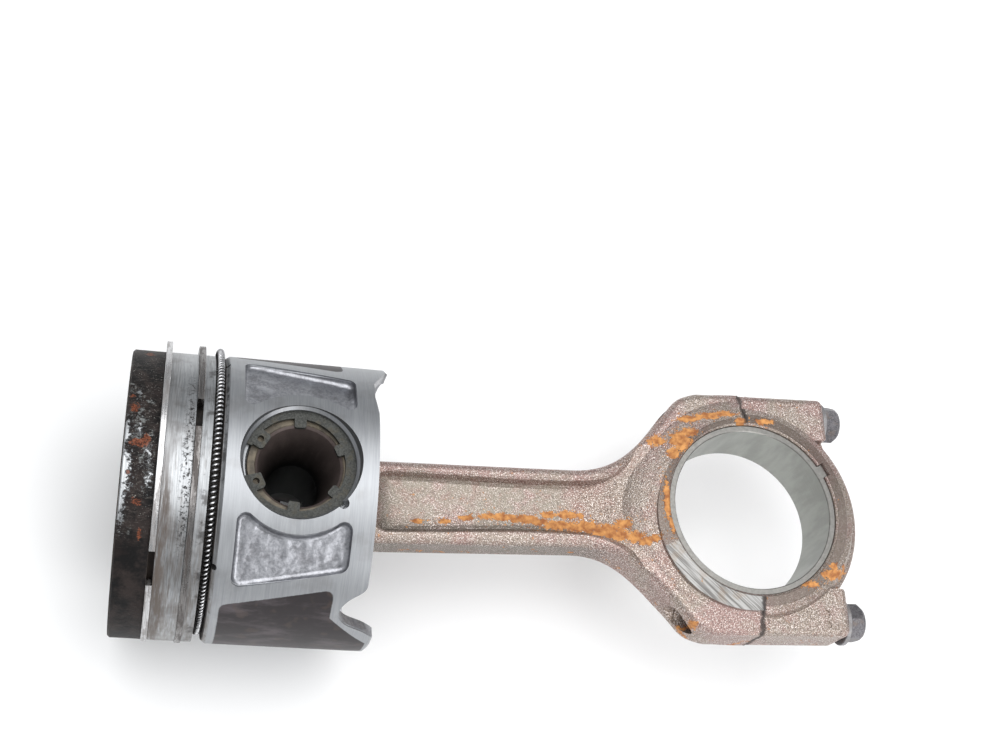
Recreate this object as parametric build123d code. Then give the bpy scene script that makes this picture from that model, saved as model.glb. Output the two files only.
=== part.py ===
from build123d import *
import math
import os

os.makedirs("parts", exist_ok=True)

# Piston and connecting rod of a small car diesel, millimetres.
# Origin: centre of the crank-journal bore. +Z: axis of that bore and of the wrist pin.
# X runs along the cylinder axis, with the piston on the -X side and the cap on the +X side.

# ---------------------------------------------------------------- driving dimensions
rod_centres = 144.3            # pin axis to journal axis
rod_swing_deg = 2.3            # angle of the rod to the cylinder axis at rest
pin_x = -rod_centres * math.cos(math.radians(rod_swing_deg))
pin_y = -rod_centres * math.sin(math.radians(rod_swing_deg))

# piston, x measured from the pin axis, negative towards the crown
skirt_r = 42.0
land_r = 41.75
top_land_r = 41.65
crown_x = -47.9
skirt_end_x = 25.8
boss_end_x = 21.3
top_groove = (-38.62, -36.86)
second_groove = (-29.25, -27.35)
oil_groove = (-24.5, -21.7)
oil_chamfer_end_x = -20.4
groove_root_r = 37.9
oil_root_r = 37.0
carrier_span = (-41.2, -34.5)
carrier_inner_r = 36.4
cavity_r = 38.0
cavity_half_z = 20.5
cavity_top_x = -15.0
slot_half_z = 13.0
slot_top_x = -27.5
pin_boss_r = 20.4
bowl_lip_r = 22.5

# cast pockets beside the pin bosses: a flat floor that comes up towards the thrust side
pocket_floor_y = 17.0
pocket_floor_z = 35.0
pocket_floor_slope = 0.647

# oil-jet notch, cut square to the skirt's wall
notch_deg = -62.0              # from +Z towards +Y about the cylinder axis

# rings
ring_gap_top = 10.7
ring_gap_second = 8.9
top_ring_height = 1.65
second_ring_height = 1.75
top_ring_r = 43.6
second_ring_r = 43.3
ring_radial = 3.4
top_ring_shift = 1.4
second_ring_shift = 1.1
top_gap_deg = -45.7            # from +Z towards +Y about the cylinder axis
second_gap_deg = 14.3
expander_r = 40.9
expander_shift = 2.3
expander_coil_r = 1.1

# wrist pin and circlips
pin_r = 15.0
pin_half_length = 34.6
pin_bore_r = 7.5
pin_mouth_r = 11.6
running_gap = 0.03
clip_groove = (34.9, 36.3)
clip_groove_r = 16.3
clip_span = (35.0, 36.2)
clip_r = 16.1
mouth_r = 15.7               # wider mouth of the pin bore, outside the circlip

# small end
small_end_r = 22.5
small_end_half_z = 11.0
bush_outer_r = 17.0

# shank
shank_half_z = 7.0
web_half_z = 2.3
shank_half_small = 13.0
shank_half_big = 12.3

# big end
shell_inner_r = 25.6
housing_r = 27.6
shell_half_z = 10.7
big_half_z = 11.3
thrust_half_z = 11.9
thrust_r = 31.0
rim_r = 37.2
bolt_y = 33.3
boss_outer_y = 39.2
boss_half_z = 8.6
edge_r = 2.6                   # rounding of the forging's outer edges
boss_end = 29.4
boss_start = -15.0
split_x = 0.0

# cap bolts
bolt_r = 3.95
bolt_hole_r = 4.0
cap_hole_r = 4.25
bolt_end_x = -18.5
thread_relief_r = 4.7
nub_r = 1.3
thread_relief_x = -24.0
collar_r = 7.0
collar_height = 1.6
hex_flats = 10.8
hex_height = 5.5


# ---------------------------------------------------------------- helpers
def disc_x(radius, x0, x1, y=0.0, z=0.0):
    """Cylinder along X between two stations."""
    body = Cylinder(radius, x1 - x0)
    body = Rot(0, 90, 0) * body
    return Pos((x0 + x1) / 2, y, z) * body


def disc_z(radius, z0, z1, x=0.0, y=0.0):
    """Cylinder along Z between two levels."""
    return Pos(x, y, (z0 + z1) / 2) * Cylinder(radius, z1 - z0)


def block(x0, x1, y0, y1, z0, z1):
    """Box between two corners."""
    centre = Pos((x0 + x1) / 2, (y0 + y1) / 2, (z0 + z1) / 2)
    return centre * Box(x1 - x0, y1 - y0, z1 - z0)


def plate(points, z0, z1, corner=0.0):
    """Prism over a closed outline in XY, corners rounded."""
    face = make_face(Polyline(*points, close=True))
    if corner > 0:
        face = fillet(face.vertices(), corner)
    return extrude(Pos(0, 0, z0) * face, z1 - z0)


def to_piston(body):
    """Move a piston-side body from the pin axis to its place."""
    return Pos(pin_x, pin_y, 0) * body


def to_rod(body):
    """Swing a rod-side body about the journal axis to its place."""
    return Rot(0, 0, rod_swing_deg) * body


def save(body, name):
    body.label = name
    export_step(body, "parts/" + name + ".step")


def turned_x(points):
    """Revolve a closed (x, radius) outline about the X axis."""
    face = make_face(Polyline(*points, close=True))
    return revolve(face, Axis.X)


# ---------------------------------------------------------------- piston
def piston_outside():
    """Turned outside of the piston with the crown chamfer and the oil-groove bevel."""
    g1a, g1b = carrier_span
    return turned_x(
        [
            (crown_x, 0),
            (crown_x, top_land_r - 0.6),
            (crown_x + 0.6, top_land_r),
            (g1a, top_land_r),
            (g1b, land_r),
            (oil_groove[0], land_r),
            (oil_groove[1], land_r - 0.75),
            (oil_chamfer_end_x, skirt_r),
            (skirt_end_x - 0.8, skirt_r),
            (skirt_end_x, skirt_r - 0.7),
            (skirt_end_x, 0),
        ]
    )


def groove(span, root_r):
    """Square ring groove all round."""
    outer = disc_x(skirt_r + 2, span[0], span[1])
    return outer - disc_x(root_r, span[0] - 1, span[1] + 1)


def combustion_bowl():
    """Round bowl in the crown with a narrower lip and a raised cone in the middle."""
    profile = Spline(
        (crown_x + 3.0, bowl_lip_r),
        (crown_x + 8.0, bowl_lip_r + 2.3),
        (crown_x + 12.6, bowl_lip_r - 3.5),
        (crown_x + 10.5, 11.0),
        (crown_x + 6.5, 2.0),
    )
    rest = Polyline(
        (crown_x + 6.5, 2.0),
        (crown_x + 6.5, 0),
        (crown_x - 1, 0),
        (crown_x - 1, bowl_lip_r),
        (crown_x + 3.0, bowl_lip_r),
    )
    face = make_face(profile.edges() + rest.edges())
    return revolve(face, Axis.X)


def piston_cavity():
    """Hollow inside the skirt: a wide chamber plus a deeper slot for the rod's small end."""
    chamber = disc_x(cavity_r, cavity_top_x, skirt_end_x + 1)
    chamber = chamber & block(-60, 60, -60, 60, -cavity_half_z, cavity_half_z)
    bosses = disc_z(pin_boss_r, slot_half_z, 30) + disc_z(pin_boss_r, -30, -slot_half_z)
    for side in (1, -1):
        low, high = sorted((side * slot_half_z, side * 30))
        bosses += block(cavity_top_x - 5, 0, -pin_boss_r + 3, pin_boss_r - 3, low, high)
    chamber -= bosses
    slot = disc_x(35.0, slot_top_x, 0)
    slot = slot & block(slot_top_x, 0, -33, 33, -slot_half_z, slot_half_z)
    return chamber + slot


def side_pocket():
    """Shallow cast recess beside a pin boss, on the +Y +Z side."""
    outline = make_face(
        Polyline((-16.3, 12.0), (15.2, 12.0), (15.2, 28.3), (-16.3, 33.8), close=True)
    )
    outline -= Circle(20.3)
    outline = fillet(outline.vertices(), 2.4)
    rise = pocket_floor_slope * (40 - pocket_floor_y)
    above = make_face(
        Polyline(
            (pocket_floor_y, pocket_floor_z),
            (40, pocket_floor_z - rise),
            (40, 60),
            (0, 60),
            (0, pocket_floor_z + pocket_floor_slope * pocket_floor_y),
            close=True,
        )
    )
    tool = extrude(outline, 60) & extrude(Plane.YZ * above, 60, both=True)
    floor = tool.faces().sort_by(Axis.Z)[0]
    return fillet(floor.edges(), 1.5)


def bore_mouth():
    """Wider mouth of the pin bore with a bevel where it meets the skirt, +Z side."""
    start = clip_groove[1] - 0.2
    face = make_face(
        Polyline(
            (0, start),
            (mouth_r, start),
            (mouth_r, start + 1.3),
            (mouth_r + 0.8, start + 2.1),
            (mouth_r + 1.3, 44.0),
            (0, 44.0),
            close=True,
        )
    )
    return revolve(Plane.XZ * face, Axis.Z)


def jet_notch():
    """Deep rounded notch in the skirt end for the oil jet, as (station, distance round the skirt)."""
    side = Spline(
        (boss_end_x, 10.4),
        (18.0, 6.2),
        (14.5, -0.4),
        (16.6, -4.7),
        (21.7, -7.8),
        (25.8, -11.7),
        (28.0, -15.5),
        tangents=((-0.1, -1), (0.45, -0.9)),
    )
    rest = Polyline((28.0, -15.5), (32.0, -15.5), (32.0, 10.4), (boss_end_x, 10.4))
    face = make_face(side.edges() + rest.edges())
    return Rot(-notch_deg, 0, 0) * extrude(Pos(0, 0, 30) * face, 25)


def boss_side_end():
    """Shorter skirt end between the pin boss and the notch."""
    return block(boss_end_x, skirt_end_x + 3, -33.0, 4, slot_half_z + 0.6, 50)


def end_relief():
    """Shorter skirt end over the pin boss, rising to the thrust side, on +Y +Z."""
    return plate(
        [
            (boss_end_x, -4),
            (boss_end_x, 16.0),
            (20.4, 22.0),
            (20.6, 28.0),
            (25.0, 35.0),
            (skirt_end_x + 3, 36.2),
            (skirt_end_x + 3, -4),
        ],
        slot_half_z + 0.6,
        50,
        0.6,
    )


def make_piston():
    body = piston_outside()
    body -= combustion_bowl()
    body -= piston_cavity()
    g0, g1 = carrier_span
    body -= disc_x(skirt_r + 2, g0, g1) - disc_x(carrier_inner_r, g0 - 1, g1 + 1)
    body -= groove(second_groove, groove_root_r)
    body -= groove(oil_groove, oil_root_r)
    body -= disc_z(pin_r + running_gap, -50, 50)
    for side in (1, -1):
        low, high = sorted((side * clip_groove[0], side * clip_groove[1]))
        body -= disc_z(clip_groove_r, low, high)
        mouth = bore_mouth()
        body -= mouth if side > 0 else mirror(mouth, Plane.XY)
        # removal notch at the rim of the pin bore
        body -= disc_z(1.5, *sorted((side * clip_span[0], side * 50)), x=12.1, y=-11.6)
    pocket = side_pocket()
    for flip_y in (False, True):
        for flip_z in (False, True):
            tool = mirror(pocket, Plane.XZ) if flip_y else pocket
            tool = mirror(tool, Plane.XY) if flip_z else tool
            body -= tool
    relief = end_relief()
    body -= jet_notch()
    body -= boss_side_end()
    body -= relief
    body -= mirror(relief, Plane.XY)
    body -= mirror(mirror(relief, Plane.XY), Plane.XZ)
    # oil drain holes just below the third groove
    for angle in (48, -44, 132, -136):
        hole = Rot(90 - angle, 0, 0) * Pos(-21.2, 38.0, 0) * Rot(90, 0, 0) * Cylinder(0.9, 10)
        body -= hole
    # feed holes from the third groove into the slot, on the thrust sides
    for angle in (78, 102, -78, -102):
        hole = Rot(90 - angle, 0, 0) * Pos(-23.05, 36.0, 0) * Rot(90, 0, 0) * Cylinder(0.9, 12)
        body -= hole
    return body


def make_carrier():
    """Iron insert cast into the piston around the top groove."""
    g0, g1 = carrier_span
    ring = turned_x(
        [
            (g0, carrier_inner_r),
            (g0, top_land_r),
            (g1, land_r),
            (g1, carrier_inner_r),
        ]
    )
    return ring - groove(top_groove, groove_root_r)


# ---------------------------------------------------------------- rings
def open_ring(centre_x, height, outer_r, shift, gap, gap_deg):
    """Sprung-open split ring lying off centre towards +Y in its groove."""
    x0 = centre_x - height / 2
    x1 = centre_x + height / 2
    ring = disc_x(outer_r, x0, x1) - disc_x(outer_r - ring_radial, x0 - 1, x1 + 1)
    ring = chamfer(ring.edges().filter_by(GeomType.CIRCLE), 0.12)
    ring = Pos(0, shift, 0) * ring
    cutter = block(x0 - 1, x1 + 1, 20, 60, -gap / 2, gap / 2)
    cutter = Rot(90 - gap_deg, 0, 0) * cutter
    return ring - cutter


def make_expander():
    """Envelope of the coil-spring expander: a closed loop of round section."""
    loop = Torus(expander_r, expander_coil_r)
    loop = Rot(0, 90, 0) * loop
    return Pos((oil_groove[0] + oil_groove[1]) / 2, expander_shift, 0) * loop


# ---------------------------------------------------------------- wrist pin
def make_pin():
    half = pin_half_length
    face = make_face(
        Polyline(
            (pin_bore_r, 0),
            (pin_bore_r, 13.0),
            (pin_mouth_r, half - 1.0),
            (pin_mouth_r + 0.8, half),
            (pin_r - 0.7, half),
            (pin_r, half - 0.7),
            (pin_r, -half + 0.7),
            (pin_r - 0.7, -half),
            (pin_mouth_r + 0.8, -half),
            (pin_mouth_r, -half + 1.0),
            (pin_bore_r, -13.0),
            close=True,
        )
    )
    return revolve(Plane.XZ * face, Axis.Z)


def make_circlip(side):
    """Internal retaining ring with four inner lugs and two plier eyes."""
    ring = Circle(clip_r) - Pos(-0.75, 0) * Circle(13.5)
    for angle in (92, 25, -36, -95):
        lug = Pos(13.0, 0) * RectangleRounded(4.4, 3.3, 0.7)
        ring += Rot(0, 0, angle) * lug
    for angle in (149, -154):
        eye = Pos(13.3, 0) * RectangleRounded(4.8, 5.0, 1.2)
        ring += Rot(0, 0, angle) * eye
    gap = make_face(Polyline((0, 0), (-30, 10.2), (-30, -8.8), close=True))
    ring -= gap
    for angle in (149, -154):
        ring -= Rot(0, 0, angle) * Pos(13.0, 0) * Circle(0.95)
    ring = ring & Circle(clip_r)
    low, high = sorted((side * clip_span[0], side * clip_span[1]))
    return extrude(Pos(0, 0, low) * ring, high - low)


# ---------------------------------------------------------------- connecting rod
def beam_face(end_x, start_x):
    """Closed outline of the shank and its flare into the big end, from start_x to end_x."""
    grow = (shank_half_small - shank_half_big) / (rod_centres - 57.0)
    start_y = shank_half_big + grow * (-57.0 - start_x)
    flare = Spline(
        (-57.0, shank_half_big),
        (-47.0, 13.6),
        (-41.0, 16.4),
        (-35.5, 20.8),
        (-30.0, 26.4),
        (-24.4, 33.0),
        (-20.2, 37.2),
        (-15.5, 38.9),
        (-10.0, boss_outer_y),
        tangents=((1, -0.01), (1, 0)),
    )
    close = Polyline(
        (-10.0, boss_outer_y),
        (end_x, boss_outer_y),
        (end_x, 0),
        (start_x, 0),
        (start_x, start_y),
        (-57.0, shank_half_big),
    )
    half = make_face(flare.edges() + close.edges())
    return half + mirror(half, Plane.XZ)


def rounded_beam():
    """Shank, flare and bolt bosses of the rod as one forging, thicker at the big end, edges rounded."""
    beam = extrude(Pos(0, 0, -12) * beam_face(split_x, -rod_centres), 24)
    rise = Spline(
        (-58.0, shank_half_z),
        (-44.0, shank_half_z + 0.8),
        (-28.0, boss_half_z),
        tangents=((1, 0), (1, 0)),
    )
    rest = Polyline(
        (-28.0, boss_half_z),
        (split_x, boss_half_z),
        (split_x, 0),
        (-rod_centres - 1, 0),
        (-rod_centres - 1, shank_half_z),
        (-58.0, shank_half_z),
    )
    side = make_face(rise.edges() + rest.edges())
    upper = extrude(Plane.XZ * side, 60, both=True)
    beam = beam & (upper + mirror(upper, Plane.XY))
    rims = beam.edges().filter_by(lambda e: abs(e.center().Z) > shank_half_z - 0.1 and abs(e.center().Y) > 5)
    rims = rims.filter_by(lambda e: e.center().X > -rod_centres + 0.01 and e.center().X < split_x - 0.01)
    return fillet(rims, edge_r)


def pocket_face(inset, level):
    """Outline of the recess between the flanges at one level, pulled in by inset."""
    pts = [
        (-121.0 + inset, 0),
        (-119.2 + inset, 5.5 - 0.5 * inset),
        (-114.5 + 0.5 * inset, 9.2 - inset),
        (-55.0, 8.4 - inset),
        (-47.0, 9.4 - inset),
        (-41.0 + 0.4 * inset, 12.0 - inset),
        (-36.0 + 0.6 * inset, 16.2 - inset),
        (-31.0 + 0.6 * inset, 21.4 - inset),
    ]
    upper = Spline(*pts[2:], tangents=((1, -0.01), (0.7, 0.72)))
    start = Spline(*pts[:3], tangents=((0, 1), (1, 0)))
    tail = Polyline(pts[-1], (-24.5, 21.4 - inset), (-24.5, 0), pts[0])
    half = make_face(start.edges() + upper.edges() + tail.edges())
    return Pos(0, 0, level) * half


def web_pocket():
    """Recess between the flanges, +Z side, with sloped walls and a floor that climbs at both ends."""
    walls = ((2.8, web_half_z), (1.5, 2.7), (0.7, 3.8), (0.2, 5.4), (-0.1, 6.4), (-0.8, 7.1), (-5.0, 9.3))
    half = loft([pocket_face(inset, level) for inset, level in walls], ruled=True)
    body = half + mirror(half, Plane.XZ)
    floor = Spline(
        (-110.5, web_half_z),
        (-60.0, web_half_z),
        (-50.0, 3.2),
        (-42.0, 5.6),
        (-34.5, 8.0),
        (-27.0, 9.2),
        tangents=((1, 0), (1, 0.1)),
    )
    start = Spline((-121.5, 8.6), (-119.0, 5.8), (-115.8, 3.4), (-110.5, web_half_z), tangents=((0.7, -1), (1, 0)))
    rest = Polyline((-27.0, 9.2), (-24.0, 14), (-121.5, 14), (-121.5, 8.6))
    side = make_face(floor.edges() + rest.edges() + start.edges())
    wedge = extrude(Plane.XZ * side, 60, both=True)
    return body & wedge


def turned_z(points):
    """Revolve a closed (radius, z) outline and its mirror image about the Z axis."""
    full = points + [(r, -z) for r, z in reversed(points)]
    face = make_face(Polyline(*full, close=True))
    return revolve(Plane.XZ * face, Axis.Z)


def cap_ring():
    """Cap side of the big-end ring: thrust faces, sloping shoulders and a raised middle rib."""
    return turned_z(
        [
            (housing_r - 4, thrust_half_z),
            (thrust_r, thrust_half_z),
            (thrust_r + 0.4, big_half_z),
            (33.4, big_half_z - 0.8),
            (34.9, 7.2),
            (35.6, 5.9),
            (rim_r - 0.7, 5.4),
            (rim_r, 4.7),
        ]
    )


def rod_ring():
    """Rod side of the big-end ring: thrust faces that fall away into the flare."""
    ring = turned_z(
        [
            (housing_r - 4, thrust_half_z),
            (29.5, thrust_half_z),
            (30.1, thrust_half_z - 0.5),
            (32.5, 10.5),
            (36.0, 9.0),
            (39.0, 7.4),
            (42.0, 5.4),
        ]
    )
    ring = ring & extrude(Pos(0, 0, -20) * beam_face(split_x, -rod_centres), 40)
    # the thrust faces are milled wider towards the lower bolt
    return ring + disc_z(29.0, -thrust_half_z, thrust_half_z, x=-3.0, y=-3.7)


def bolt_bosses(x0, x1):
    """Two rounded bars along X that carry the cap bolts."""
    bars = None
    for side in (1, -1):
        low, high = sorted((side * 24.5, side * boss_outer_y))
        bar = block(x0, x1, low, high, -boss_half_z, boss_half_z)
        bar = fillet(bar.edges().filter_by(Axis.X).filter_by(lambda e: abs(e.center().Y) > 30), edge_r)
        bar = fillet(bar.faces().sort_by(Axis.X)[-1].edges(), 1.9)
        bars = bar if bars is None else bars + bar
    return bars


def big_end_holes(body):
    body -= disc_z(housing_r, -30, 30)
    for z in (thrust_half_z, -thrust_half_z):
        cone = Pos(0, 0, z) * Cone(housing_r, housing_r + 1.4, 1.4)
        cone = cone if z > 0 else Pos(0, 0, z) * Rot(180, 0, 0) * Cone(housing_r, housing_r + 1.4, 1.4)
        body -= cone
    return body


def make_rod():
    body = rounded_beam()
    body += disc_z(small_end_r, -small_end_half_z, small_end_half_z, x=-rod_centres)
    pocket = web_pocket()
    body -= pocket
    body -= mirror(pocket, Plane.XY)
    body += rod_ring() & block(-60, split_x, -60, 60, -30, 30)
    body = big_end_holes(body)
    body -= disc_z(bush_outer_r, -30, 30, x=-rod_centres)
    for side in (1, -1):
        body -= disc_x(bolt_hole_r, -60, 10, y=side * bolt_y)
        body -= disc_x(thread_relief_r, -60, thread_relief_x, y=side * bolt_y)
    body += boss_nub(-6.6)
    # oil hole in the top of the small end
    body -= disc_x(2.0, -rod_centres - 30, -rod_centres - 10)
    return body


def boss_nub(x):
    """Small forged rib across the outer side of the upper bolt boss."""
    rib = disc_z(nub_r, -5.2, 5.2, x=x, y=boss_outer_y - 0.2)
    return fillet(rib.edges().filter_by(GeomType.CIRCLE), nub_r * 0.9)


def make_cap():
    body = cap_ring() + bolt_bosses(boss_start, boss_end)
    # fillet of metal between each bar and the ring
    for side in (1, -1):
        web = [(10, side * 22), (boss_end - 1.4, side * 27), (boss_end - 0.4, side * 22.5), (29.5, side * 15)]
        body += plate(web, -5.2, 5.2)
    body = body & block(split_x, 60, -60, 60, -30, 30)
    body = big_end_holes(body)
    for side in (1, -1):
        body -= disc_x(cap_hole_r, -10, 60, y=side * bolt_y)
        body -= disc_x(collar_r + 0.6, boss_end - 0.01, 60, y=side * bolt_y)
    body += boss_nub(4.2)
    # two punch dimples on the lower boss
    for y in (-32.6, -36.0):
        body -= disc_z(1.3, boss_half_z - 0.5, 20, x=21.6, y=y)
    # seat for the shell's locating tang
    seat = block(housing_r - 3, housing_r + 1.7, -2.2, 2.2, 4.0, 20)
    body -= Rot(0, 0, 28) * seat
    return body


def make_shell(side):
    ring = disc_z(housing_r, -shell_half_z, shell_half_z) - disc_z(shell_inner_r, -20, 20)
    ring = chamfer(ring.edges().filter_by(GeomType.CIRCLE), 0.25)
    low, high = sorted((split_x, split_x + side * 60))
    ring = ring & block(low, high, -60, 60, -30, 30)
    if side > 0:
        tang = block(housing_r - 0.6, housing_r + 1.5, -2.0, 2.0, 4.2, shell_half_z)
        ring += Rot(0, 0, 28) * tang
    return ring


def make_bolt(side):
    """Cap bolt: threaded shank, round collar and six-sided head."""
    y = side * bolt_y
    shank = disc_x(bolt_r, bolt_end_x, boss_end + 0.5, y=y)
    collar = disc_x(collar_r, boss_end, boss_end + collar_height, y=y)
    collar = chamfer(collar.edges().filter_by(GeomType.CIRCLE), 0.25)
    head = extrude(RegularPolygon(hex_flats / 2, 6, major_radius=False), hex_height)
    crown = Cone(hex_flats / 2 + 5.0, hex_flats / 2 - 0.6, 7.0)
    head = head & (Pos(0, 0, hex_height - 3.5) * crown)
    turn = 30 if side > 0 else 0
    head = Pos(boss_end + collar_height - 0.05, y, 0) * Rot(0, 90, 0) * Rot(0, 0, turn) * head
    return shank + collar + head


# ---------------------------------------------------------------- build
ring1_x = (top_groove[0] + top_groove[1]) / 2
ring2_x = (second_groove[0] + second_groove[1]) / 2
save(to_piston(make_piston()), "piston")
save(to_piston(make_carrier()), "ring_carrier")
ring1 = open_ring(ring1_x, top_ring_height, top_ring_r, top_ring_shift, ring_gap_top, top_gap_deg)
save(to_piston(ring1), "top_compression_ring")
ring2 = open_ring(ring2_x, second_ring_height, second_ring_r, second_ring_shift, ring_gap_second, second_gap_deg)
save(to_piston(ring2), "second_compression_ring")
save(to_piston(make_expander()), "oil_ring_expander")
save(to_piston(make_pin()), "wrist_pin")
save(to_piston(make_circlip(1)), "circlip_upper")
save(to_piston(make_circlip(-1)), "circlip_lower")
bush = disc_z(bush_outer_r, -small_end_half_z, small_end_half_z, x=-rod_centres)
bush -= disc_z(pin_r + running_gap, -30, 30, x=-rod_centres)
save(to_rod(bush), "small_end_bush")
save(to_rod(make_rod()), "connecting_rod")
save(to_rod(make_cap()), "rod_cap")
save(to_rod(make_shell(-1)), "upper_bearing_shell")
save(to_rod(make_shell(1)), "lower_bearing_shell")
save(to_rod(make_bolt(1)), "cap_bolt_1")
save(to_rod(make_bolt(-1)), "cap_bolt_2")
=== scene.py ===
import math

import bpy
from mathutils import Matrix, Vector


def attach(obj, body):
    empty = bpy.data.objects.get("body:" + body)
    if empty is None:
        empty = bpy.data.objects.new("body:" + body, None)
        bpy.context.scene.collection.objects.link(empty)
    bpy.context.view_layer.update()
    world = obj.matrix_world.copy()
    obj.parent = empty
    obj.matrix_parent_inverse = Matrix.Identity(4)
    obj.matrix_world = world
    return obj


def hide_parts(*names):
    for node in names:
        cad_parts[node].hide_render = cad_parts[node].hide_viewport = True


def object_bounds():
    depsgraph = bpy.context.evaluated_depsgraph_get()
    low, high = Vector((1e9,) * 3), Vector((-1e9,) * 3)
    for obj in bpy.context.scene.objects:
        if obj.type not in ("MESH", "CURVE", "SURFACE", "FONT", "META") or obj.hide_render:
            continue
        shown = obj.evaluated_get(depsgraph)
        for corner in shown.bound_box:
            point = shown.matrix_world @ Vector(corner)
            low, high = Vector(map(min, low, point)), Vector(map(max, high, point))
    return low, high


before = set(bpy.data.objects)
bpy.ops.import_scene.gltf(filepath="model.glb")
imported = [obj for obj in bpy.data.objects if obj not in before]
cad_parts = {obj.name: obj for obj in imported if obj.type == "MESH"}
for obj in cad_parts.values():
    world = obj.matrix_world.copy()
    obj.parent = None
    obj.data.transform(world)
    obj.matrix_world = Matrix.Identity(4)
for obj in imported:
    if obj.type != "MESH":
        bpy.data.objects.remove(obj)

cad_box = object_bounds()

# Millimetres, as in the CAD. The journal centre is the frame's origin, the pin is rod_centres away
# from it, and the rod is turned by rod_swing about the journal.
rod_centres = 144.3
rod_swing = math.radians(2.3)
pin = Vector((-rod_centres * math.cos(rod_swing), -rod_centres * math.sin(rod_swing), 0.0))
metre = 0.001

# Stations on the piston, along the cylinder from the pin and negative towards the crown.
crown_x = -47.9
bowl_floor_x = -19.5
top_land_end = -38.65
second_ring_x = -30.5
second_land_end = -27.4
oil_land_start = -20.4
coating_start = -18.5

# Radii and faces on the piston and its pin where one finish ends and the next begins.
skirt_r = 42.0
mm_per_degree = skirt_r * math.pi / 180
groove_r = 41.2
bowl_r = 33.2
pin_bevel_r = 17.0
pin_outer_r = 14.45
pin_mouth_r = 11.6
pin_hollow_r = 7.7
pin_end = 34.35

# The same on the rod and its shells.
bearing_r = 27.2
big_end_face = 11.65
shell_face = 10.4
web_start = -122.0
crack_start = 28.1

# The expander: one coiled wire whose loop lies a little off the cylinder axis.
expander_x = -23.1
expander_r = 40.9
expander_shift = 2.3
expander_coil_r = 1.1
expander_wire_r = 0.3
expander_pitch = 1.45


def shade(red, green, blue):
    """A colour given as 0 to 255 display values, as linear light."""
    linear = []
    for value in (red, green, blue):
        value = value / 255
        linear.append(value / 12.92 if value <= 0.04045 else ((value + 0.055) / 1.055) ** 2.4)
    return (*linear, 1.0)


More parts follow.
